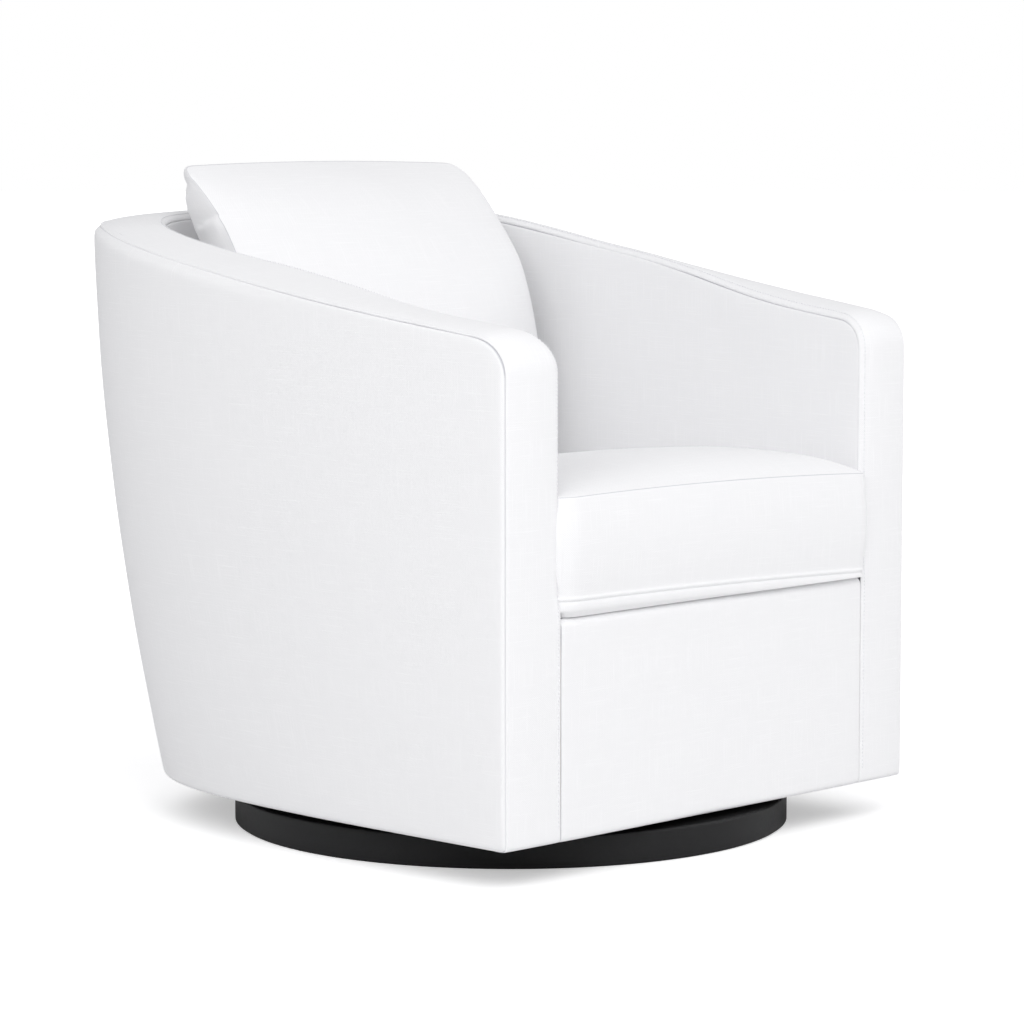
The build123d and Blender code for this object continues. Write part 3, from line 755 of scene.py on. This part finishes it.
# Front panel: a plain flat panel of the cloth between the arms, over a plywood board, sewn to the band.
# It turns under the bottom rail, and over the front of the deck beneath the seat cushion.
panel_inset = 0.0838
panel_middle_z = 0.18
panel_share = share_at(front_y, panel_middle_z, panel_inset)
panel_edges = float(wall_point(panel_share, panel_middle_z, panel_inset)[0])
edge_places = seam_steps[1:]
panel_left = -panel_edges + left_fullness
inner_places = np.linspace(panel_left + past_seam, panel_edges - past_seam, 56)
panel_x = np.concatenate([panel_left + edge_places, inner_places, panel_edges - edge_places[::-1]])
lip_round = 0.010
panel_rows = [(back, hem_z + up) for back, up in hem_rows]
panel_rows += [(0.0, level) for level in np.linspace(hem_z + hem_round, deck_z - lip_round, 27)[1:]]
for turn in hem_turns[1:]:
    panel_rows.append((lip_round * (1 - math.cos(turn)), deck_z - lip_round * (1 - math.sin(turn))))
panel_rows += [(lip_round + back, deck_z) for back in (0.008, 0.016, 0.024)]
panel_rows = np.array(panel_rows)
panel_run = run_along(panel_rows)
edge = np.minimum(panel_edges - panel_x, panel_x - panel_left)[None, :]
dip = 0.0014 * np.exp(-edge / 0.0016) + 0.0012 * np.exp(-edge / 0.012) - 0.0012
dip = dip + 0.0004 * drift(panel_x[None, :], panel_run[:, None], 0.13, 2.2)
panel_places = np.stack(np.broadcast_arrays(
    panel_x[None, :],
    front_y + panel_rows[:, :1] + dip,
    panel_rows[:, 1:],
), -1)
panel_cloth = np.stack(np.broadcast_arrays(panel_x[None, :], panel_run[:, None]), -1)
panel_gap = np.broadcast_to(edge, panel_places.shape[:2])
front_panel = sewn_object("front_panel_cloth", [(panel_places, panel_cloth, panel_gap)])
upholster(front_panel, white_cloth, "white_cloth", "chair", "front_cover")

# Band stitching: a row of white lockstitch along the ridge, and a second row beside the inner seam.
# Each stitch is a short length of thread pulled a little into the cloth at both ends.
stitch_pitch = 0.0046
stitch_length = 0.0034
stitch_radius = 0.00045
stitch_sides = 6

# Rings of a stitch: place along it, width and lift, as shares of its length and of its radius.
stitch_rings = np.array([
    (-0.5, 0.35, -0.5), (-0.32, 0.9, 0.25), (0.0, 1.0, 0.45), (0.32, 0.9, 0.25), (0.5, 0.35, -0.5),
])


def stitched(name, lines):
    """One mesh of stitches along lines, each given as places and the cloth's outward directions there."""
    places, faces = [], []
    first = 0
    for line, outward in lines:
        run = run_along(line)
        spots = np.arange(stitch_pitch, run[-1] - stitch_pitch, stitch_pitch)
        centres, normals, ends = (
            np.stack([np.interp(spots + step, run, values[:, axis]) for axis in range(3)], -1)
            for values, step in ((line, 0), (outward, 0), (line, stitch_length / 2))
        )
        ahead = ends - centres
        ahead /= np.linalg.norm(ahead, axis=1, keepdims=True)
        beside = np.cross(ahead, normals)
        beside /= np.linalg.norm(beside, axis=1, keepdims=True)
        above = np.cross(beside, ahead)
        turns = 2 * np.pi * np.arange(stitch_sides) / stitch_sides
        for step, size, lift in stitch_rings:
            for turn in turns:
                offset = beside * np.cos(turn) * size + above * (np.sin(turn) * size + lift)
                places.append(centres + ahead * stitch_length * step + offset * stitch_radius)
        count = len(centres)
        for ring in range(len(stitch_rings) - 1):
            for number in range(stitch_sides):
                after = (number + 1) % stitch_sides
                corners = (ring * stitch_sides + number, ring * stitch_sides + after,
                           (ring + 1) * stitch_sides + after, (ring + 1) * stitch_sides + number)
                faces.append(np.stack([first + corner * count + np.arange(count) for corner in corners], -1))
        first += count * len(stitch_rings) * stitch_sides
    mesh = bpy.data.meshes.new(name)
    mesh.from_pydata(np.concatenate(places).tolist(), [], np.concatenate(faces).tolist())
    mesh.shade_smooth()
    return placed(name, mesh)


def sheet_normals(sheet):
    """Outward directions of a sheet of places whose columns run along it and rows across it."""
    normals = np.cross(np.gradient(sheet, axis=1), np.gradient(sheet, axis=0))
    return normals / np.linalg.norm(normals, axis=-1, keepdims=True)


sewing_thread = mottled("white_spun_sewing_thread", ("#e4e4e8", "#f4f4f6"), 0.0006, 1.0, (0.4, 0.0002),
                        (0.7, 0.7))
band_normals = sheet_normals(band_sheet[0])
inner_stitch_row = -6
clear_of_hem = slice(7, -7)
along_rim = slice(len(stations), -len(stations))
stitch_lines = [
    (band_sheet[0][row, part], band_normals[row, part])
    for row, part in ((stitch_row, along_rim), (inner_stitch_row, clear_of_hem))
]
band_stitches = stitched("band_stitches", stitch_lines)
band_stitches.data.materials.append(sewing_thread)
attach(band_stitches, "chair")


# Deck: the flat platform under the seat cushion, a plain lining cloth over a thin felted pad.
# It is tacked to the rails and meets the front panel's turned edge behind the front of the seat.
def spread(line, shares):
    """Places along a line at shares of its run."""
    run = run_along(line)
    return np.stack([np.interp(shares * run[-1], run, line[:, axis]) for axis in range(line.shape[1])], -1)


def plan_patch(level, inset, front, columns, rows):
    """Flat places over the barrel's plan at a height, in rows from a straight front to the curved back.

    Columns and rows are shares, from 0 to 1, of the way across and of the way back.
    """
    line = wall_point(np.linspace(float(share_at(front, level, inset)), 1, 800), level, inset)[:, :2]
    sideways = np.abs(np.gradient(line[:, 0])) > np.abs(np.gradient(line[:, 1]))
    turn = int(np.argmax(sideways))
    mirror = np.array([-1, 1])
    right = spread(line[:turn + 1], rows)
    left = right * mirror
    back_half = line[turn:]
    back = spread(np.concatenate([back_half * mirror, back_half[-2::-1]]), columns)
    across, deep = columns[None, :, None], rows[:, None, None]
    front_line = left[0] + (right[0] - left[0]) * across
    between_sides = left[:, None] * (1 - across) + right[:, None] * across
    between_ends = front_line * (1 - deep) + back[None] * deep
    corners = front_line * (1 - deep) + (left[-1] + (right[-1] - left[-1]) * across) * deep
    return between_sides + between_ends - corners


deck_inset = arm_thickness + 0.0005
deck_front_y = front_y + 0.028
deck_flat = plan_patch(deck_z, deck_inset, deck_front_y, np.linspace(0, 1, 40), np.linspace(0, 1, 44))
deck_sag = 0.0015 * drift(deck_flat[..., 0], deck_flat[..., 1], 0.3, 1.3) - 0.002
deck_places = np.concatenate([deck_flat, deck_z + deck_sag[..., None]], -1)
deck = sewn_object("deck_cloth", [(deck_places, deck_flat, np.full(deck_sag.shape, 0.01))])

deck_lining, tree = new_material("plain_cotton_deck_lining")
weave_map = add_node(tree, "UVMap", uv_map="weave")
canvas = add_node(tree, "TexNoise", {"Vector": weave_map.outputs[0], "Scale": 1 / 0.002, "Detail": 2.0})
canvas_tone = add_node(tree, "Mix", {
    0: canvas.outputs[0],
    6: linear("#dcdcda"),
    7: linear("#ebebe9"),
}, data_type="RGBA")
canvas_weave = add_node(tree, "Bump", {"Height": canvas.outputs[0], "Strength": 0.3, "Distance": 0.0004})
surface(tree, {
    "Base Color": canvas_tone.outputs[2],
    "Roughness": 0.95,
    "Specular IOR Level": 0.15,
    "Normal": canvas_weave.outputs[0],
})
upholster(deck, deck_lining, "deck_cloth", "chair", "deck_cover", "deck_pad")

# Seat cushion: a loose boxed cushion, its cover sewn from a crowned top, a boxing strip and an underside.
# The lower seam stands out as a ridge over a narrow lip, and foam and wadding fill the cover out.
seat_bottom_z = deck_z + 0.0003
seat_front_y = front_y - 0.008
seat_inset = arm_thickness + 0.003
seat_half_front = 0.272
seat_corners = (0.026, 0.014)
crown_z = 0.470
crown_y = -0.340
crown_radius = 2.0
near_seam = np.array([0.0, 0.0025, 0.008])
even_shares = np.linspace(0.018, 0.982, 58)
close_shares = np.concatenate([near_seam, even_shares, 1 - near_seam[::-1]])


def crown_level(x, y):
    """Height of the seat's crown, a shallow dome that is highest at the front and falls away to the back."""
    return crown_z - crown_radius + np.sqrt(crown_radius ** 2 - x * x - (y - crown_y) ** 2)


def loop_of(sheet):
    """The edge of a sheet of places as one closed line, from its first corner along its first row."""
    return np.concatenate([sheet[0], sheet[1:, -1], sheet[-1, -2::-1], sheet[-2::-1, 0]])


def edge_distance(flat, loop):
    """Distance of each place in a sheet from its outline."""
    gaps = np.linalg.norm(flat[:, :, None, :] - loop[None, None, :, :], axis=-1)
    return gaps.min(-1)


def rounded(from_side, from_end, corner):
    """How far a sheet's places move in from its sides and from its end, to round its square corners."""
    p = np.clip(1 - from_side / corner, 0, 1)
    q = np.clip(1 - from_end / corner, 0, 1)
    return corner * (p - p * np.sqrt(1 - q * q / 2)), corner * (q - q * np.sqrt(1 - p * p / 2))


seat_flat = plan_patch(seat_bottom_z, seat_inset, seat_front_y, close_shares, close_shares)
half_width = seat_flat[:, -1:, 0]
seat_corner = np.where(seat_flat[..., 0] < 0, *seat_corners)
from_side = half_width - np.abs(seat_flat[..., 0])
inwards, backwards = rounded(from_side, seat_flat[..., 1] - seat_front_y, seat_corner)
seat_flat = seat_flat + np.stack([-np.sign(seat_flat[..., 0]) * inwards, backwards], -1)
seat_edge = edge_distance(seat_flat, loop_of(seat_flat))
seat_x, seat_y = seat_flat[..., 0], seat_flat[..., 1]
side = seat_x / seat_half_front
forward = np.clip((-0.20 - seat_y) / 0.12, 0, 1)
seam_drop = 0.012 + (0.0183 + 0.005 * side - 0.0135 * side ** 2) * forward
seam_fall = seam_drop * np.exp(-seat_edge / (0.016 + 0.016 * forward))
top_z = crown_level(seat_x, seat_y) - seam_fall - 0.004 * (1 - np.exp(-seat_edge / 0.05))
seat_top = np.concatenate([seat_flat, top_z[..., None]], -1)
lip_inset = 0.009
under_flat = seat_flat * np.array([1 - lip_inset / 0.28, 1 - lip_inset / 0.34])
seat_under = np.concatenate([under_flat, np.full(seat_x.shape, seat_bottom_z)[..., None]], -1)

high_line = loop_of(seat_top)
side = high_line[:, 0] / seat_half_front
low_seam_z = 0.3175 - 0.0065 * side - 0.0025 * side ** 2
ahead = np.gradient(high_line[:, :2], axis=0)
outward = np.stack([ahead[:, 1], -ahead[:, 0]], -1)
outward /= np.linalg.norm(outward, axis=1, keepdims=True)
free_front = np.clip((-0.305 - high_line[:, 1]) / 0.025, 0, 1)
boxing_run = run_along(high_line)

# Rows of the strip from the underside up: inwards and upwards in mm from the lower seam, past lip and ridge.
lip_rows = 0.001 * np.array([
    (3.6, -13.0), (1.2, -11.4), (0.2, -8.4), (-0.2, -5.0), (0.0, -2.4), (0.8, -0.8), (1.4, 0.0),
    (0.6, 0.8), (-0.7, 1.8), (-1.2, 3.2), (-0.8, 4.6), (0.2, 5.6), (0.1, 8.0),
])
lip_gaps = np.abs(lip_rows[:, 1]) + 0.0006
boxing = [np.concatenate([loop_of(under_flat), np.full(len(side), seat_bottom_z)[:, None]], -1)]
boxing_up = [np.full(len(side), -0.022)]
boxing_gap = [np.full(len(side), 0.022)]
for (inwards, up), gap in zip(lip_rows, lip_gaps):
    level = np.maximum(low_seam_z + up, seat_bottom_z + 0.0015 + 0.05 * up)
    boxing.append(np.concatenate([high_line[:, :2] - outward * inwards, level[:, None]], -1))
    boxing_up.append(np.full(len(side), up))
    boxing_gap.append(np.full(len(side), gap))
start_z = low_seam_z + lip_rows[-1, 1]
for share in np.concatenate([np.linspace(0, 0.93, 12)[1:], [0.97, 0.99, 1.0]]):
    level = start_z + (high_line[:, 2] - start_z) * share
    bow = (0.0004 + 0.004 * free_front) * 4 * share * (1 - share)
    boxing.append(np.concatenate([high_line[:, :2] + outward * bow[:, None], level[:, None]], -1))
    boxing_up.append(level - low_seam_z)
    boxing_gap.append(high_line[:, 2] - level)
boxing, boxing_up, boxing_gap = (np.array(part) for part in (boxing, boxing_up, boxing_gap))
boxing_cloth = np.stack([np.broadcast_to(boxing_run, boxing_up.shape), boxing_up], -1)
boxing_held = np.zeros(boxing_up.shape)
boxing_held[:len(lip_rows) + 1] = 1
boxing_held[-1] = 1
top_held = (seat_edge < 1e-6).astype(float)
seat = sewn_object("seat_cushion_cloth", [
    (seat_top, seat_flat, seat_edge, top_held),
    (boxing, boxing_cloth, boxing_gap, boxing_held),
    (seat_under[:, ::-1], under_flat[:, ::-1], np.full(seat_edge.shape, 0.022), np.ones(seat_edge.shape)),
])


def at_vertices(mesh, label="co"):
    """Places of a mesh's vertices, or another of their values by its label."""
    values = np.zeros(len(mesh.vertices) * 3)
    mesh.vertices.foreach_get(label, values)
    return values.reshape(-1, 3)


fairing_rounds = 80


def swell(item, limits, pressure, slack):
    """Let a cushion's cloth swell over its filling: its seams hold, and no place rises past its limit.

    The rise is evened out between neighbours, as wadding under the cloth keeps it from buckling.
    """
    rest = at_vertices(item.data)
    held = np.zeros(len(rest), np.float32)
    item.data.attributes["held"].data.foreach_get("value", held)
    seams = item.vertex_groups.new(name="seams")
    seams.add(np.flatnonzero(held > 0.5).tolist(), 1.0, "REPLACE")
    cloth = item.modifiers.new("swell", "CLOTH")
    cloth.settings.quality = 6
    cloth.settings.mass = 0.3
    cloth.settings.tension_stiffness = 12
    cloth.settings.compression_stiffness = 12
    cloth.settings.shear_stiffness = 4
    cloth.settings.bending_stiffness = 0.6
    cloth.settings.use_pressure = True
    cloth.settings.uniform_pressure_force = pressure
    cloth.settings.shrink_min = -slack
    cloth.settings.vertex_group_mass = seams.name
    cloth.settings.effector_weights.gravity = 0
    for number in range(1, 21):
        bpy.context.scene.frame_set(number)
    swollen = item.evaluated_get(bpy.context.evaluated_depsgraph_get())
    moved = at_vertices(swollen.data)
    item.modifiers.remove(cloth)
    item.vertex_groups.remove(seams)
    bpy.context.scene.frame_set(1)
    outwards = at_vertices(item.data, "normal")
    rise = ((moved - rest) * outwards).sum(1)
    ends = np.zeros(len(item.data.edges) * 2, int)
    item.data.edges.foreach_get("vertices", ends)
    first, second = ends.reshape(-1, 2).T
    neighbours = np.bincount(ends, minlength=len(rest))
    for _ in range(fairing_rounds):
        around = np.bincount(first, rise[second], len(rest))
        around += np.bincount(second, rise[first], len(rest))
        rise = np.where(held > 0.5, 0, (rise + around / neighbours) / 2)
    return rest + outwards * (limits * np.tanh(rise / limits))[:, None]


def set_places(item, places):
    """Move a mesh's vertices to new places."""
    item.data.vertices.foreach_set("co", places.ravel())
    item.data.update()


rest = at_vertices(seat.data)
on_top = np.clip((rest[:, 2] - crown_level(rest[:, 0], rest[:, 1]) + 0.03) / 0.012, 0, 1)
at_front = np.clip((seat_front_y + 0.030 - rest[:, 1]) / 0.020, 0, 1)
at_front *= np.clip((seat_half_front - 0.006 - np.abs(rest[:, 0])) / 0.06, 0, 1)
seat_limits = 0.0012 + 0.0058 * np.maximum(on_top, at_front)
places = swell(seat, seat_limits, 4.0, 0.003)
ceiling = crown_level(places[:, 0], places[:, 1]) + 0.0015 * (places[:, 1] < 0.12)
places[:, 2] = np.minimum(places[:, 2], ceiling)
set_places(seat, places)
upholster(seat, white_cloth, "white_cloth", "seat_cushion", "seat_cushion_cover", "seat_cushion_foam",
          thickness=None)

# Back cushion: a plump loose cushion of soft fibre, boxed all round, that leans on the barrel's back.
# Its cover is fuller than its filling, so the left boxing folds on itself and its top corner gathers.
back_half_width = 0.242
back_swell = 0.030
back_crown_z = 0.8003
top_corner, foot_corner = 0.016, 0.030
back_depth = 0.070
right_slump = 0.0054
wall_top_z = 0.74
rear_round = 0.055
most_room, room_top_z, room_fade = 0.11, 0.77, 0.10

# The front's side seam as heights and depths, and the boxing's depth at heights, thinning towards the top.
back_edge_line = np.array([
    (0.36, 0.196), (0.42, 0.186), (0.50, 0.182), (0.574, 0.186), (0.632, 0.203), (0.692, 0.229),
    (0.721, 0.248), (0.745, 0.267), (0.762, 0.284), (0.780, 0.304), (0.795, 0.326), (0.806, 0.347),
])
boxing_depths = np.array([
    (0.72, 0.067), (0.745, 0.061), (0.76, 0.0495), (0.77, 0.037), (0.78, 0.0215), (0.80, 0.010),
])


def back_wall(x, level, inset):
    """Depth of the barrel's curved back at a place across the chair."""
    share = halved(lambda share: wall_point(share, level, inset)[..., 0] > np.abs(x), np.shape(x), 0.5)
    return wall_point(share, level, inset)[..., 1]


back_columns = np.concatenate([near_seam, np.linspace(0.02, 0.98, 52), 1 - near_seam[::-1]])
even_rows = np.concatenate([np.linspace(0.024, 0.70, 30), np.linspace(0.71, 0.98, 52)])
back_rows = np.concatenate([near_seam, even_rows, 1 - near_seam[::-1]])
across = 2 * back_columns[None, :] - 1
up = back_rows[:, None]
back_x = back_half_width * across + 0 * up
top_line = back_crown_z - 0.0022 * across - 0.0045 * across ** 2
bottom_line = crown_level(back_x[:1], 0.19) + 0.004
back_z = bottom_line + (top_line - bottom_line) * up
for line, sign, corner in ((top_line, -1, top_corner), (bottom_line, 1, foot_corner)):
    inwards, along = rounded(back_half_width - np.abs(back_x), np.abs(line - back_z), corner)
    back_x = back_x - np.sign(back_x) * inwards
    back_z = back_z + sign * along
front_flat = np.stack([back_x, back_z], -1)
front_edge = edge_distance(front_flat, loop_of(front_flat))
smooth_line = np.polyfit(back_edge_line[:, 0], back_edge_line[:, 1], 5)
seam_y = np.polyval(smooth_line, back_z)
slump = np.clip((back_z - 0.66) / 0.07, 0, 1) * np.clip(back_x / 0.12, 0, 1)
slump = right_slump * eased(slump)
back_x, seam_y = back_x - slump, seam_y + slump
below_crown = np.clip((back_crown_z - back_z) / 0.12, 0, 1)
plump = (1 - (back_x / back_half_width) ** 2) * back_swell * below_crown * (2 - below_crown)
front_sheet = np.stack([back_x, seam_y - plump - 0.004 * (1 - np.exp(-front_edge / 0.012)), back_z], -1)

near_top = np.clip((back_z - 0.735) / 0.05, 0, 1)
depth = np.interp(back_z, boxing_depths[:, 0], boxing_depths[:, 1])
rear_x = back_x * 0.97
rear_z = back_z - 0.004 * near_top
rear_seam_y = np.minimum(seam_y + depth, back_wall(rear_x, rear_z, arm_thickness + 0.006))
room = np.clip(back_wall(rear_x, rear_z, arm_thickness + 0.012) - rear_seam_y, 0, most_room)
room = room * np.clip((room_top_z - rear_z) / room_fade, 0, 1)
rear_y = rear_seam_y + room * (1 - np.exp(-front_edge / rear_round))
rear_sheet = np.stack([rear_x, rear_y, rear_z], -1)
back_held = (front_edge < 1e-6).astype(float)

near_line, far_line = loop_of(front_sheet), loop_of(rear_sheet)
ahead = np.gradient(near_line, axis=0)
outward = np.stack([ahead[:, 2], np.zeros(len(ahead)), -ahead[:, 0]], -1)
outward /= np.linalg.norm(outward, axis=1, keepdims=True)
back_run = run_along(near_line)
strip, strip_cloth, strip_gap, strip_held = [], [], [], []
for share in (1.0, 0.965, 0.9, 0.78, 0.66, 0.54, 0.42, 0.30, 0.19, 0.10, 0.035, 0.0):
    strip.append(near_line + (far_line - near_line) * share + outward * 0.002 * 4 * share * (1 - share))
    strip_cloth.append(np.stack([back_run, np.full(len(back_run), back_depth * (1 - share))], -1))
    strip_gap.append(np.full(len(back_run), back_depth * min(share, 1 - share)))
    strip_held.append(np.full(len(back_run), float(share in (0.0, 1.0))))
back = sewn_object("back_cushion_cloth", [
    (front_sheet, front_flat, front_edge, back_held),
    tuple(np.array(part) for part in (strip, strip_cloth, strip_gap, strip_held)),
    (rear_sheet[:, ::-1], front_flat[:, ::-1], front_edge[:, ::-1], back_held[:, ::-1]),
])
rest = at_vertices(back.data)
from_side = back_half_width - np.abs(rest[:, 0])
back_limits = 0.0015 + 0.0075 * np.clip(from_side / 0.09, 0, 1) * np.clip((0.83 - rest[:, 2]) / 0.10, 0.2, 1)
places = swell(back, back_limits, 4.0, 0.006)
places[:, 2] = np.maximum(places[:, 2], crown_level(places[:, 0], places[:, 1]) + 0.002)
wall_y = back_wall(places[:, 0], np.minimum(places[:, 2], wall_top_z), arm_thickness + 0.004)
places[:, 1] = np.minimum(places[:, 1], wall_y)

# The left boxing folds along a line, given by depth and height: a crease above, and a lobe hanging below.
fold_from, fold_to = np.array([0.2576, 0.7415]), np.array([0.2930, 0.7273])
lobe_depth, lobe_round, lobe_reach = 0.0070, 0.003, 0.022
crease_depth, crease_reach = 0.0030, 0.006
fold_way = (fold_to - fold_from) / np.linalg.norm(fold_to - fold_from)
beside = places[:, 1:] - fold_from
above_fold = beside[:, 1] * fold_way[0] - beside[:, 0] * fold_way[1]
along_fold = beside @ fold_way
under = np.minimum(above_fold, 0)
lobe = lobe_depth * (1 - np.exp(under / lobe_round)) * np.exp(under / lobe_reach)
crease = -crease_depth * np.exp(-np.maximum(above_fold, 0) / crease_reach)
on_left_boxing = np.clip((-0.226 - places[:, 0]) / 0.010, 0, 1)
reach = np.clip(along_fold / 0.012, 0, 1) * np.clip((0.056 - along_fold) / 0.026, 0, 1)
places[:, 0] -= np.where(above_fold < 0, lobe, crease) * on_left_boxing * reach

# Dimples beside the seam and the knot of the gathered corner: place, size, depth and the way the cloth goes.
for spot, size, depth, way in (
    ((-0.236, 0.2516, 0.7536), 0.0075, 0.0038, (0.5, 0.85, -0.1)),
    ((-0.229, 0.2300, 0.7080), 0.0060, 0.0012, (0.3, 0.95, 0.0)),
    ((-0.238, 0.3144, 0.7891), 0.0060, -0.0025, (0.8, 0.5, -0.3)),
    ((-0.240, 0.3060, 0.7760), 0.0050, 0.0014, (1.0, 0.2, 0.0)),
    ((-0.226, 0.3100, 0.7900), 0.0060, 0.0025, (0.0, 0.8, -0.6)),
):
    away = np.linalg.norm(places - np.array(spot), axis=1)
    places += depth * np.exp(-(away / size) ** 2)[:, None] * np.array(way)
set_places(back, places)
upholster(back, white_cloth, "white_cloth", "back_cushion", "back_cushion_cover", "back_cushion_filling",
          thickness=None)
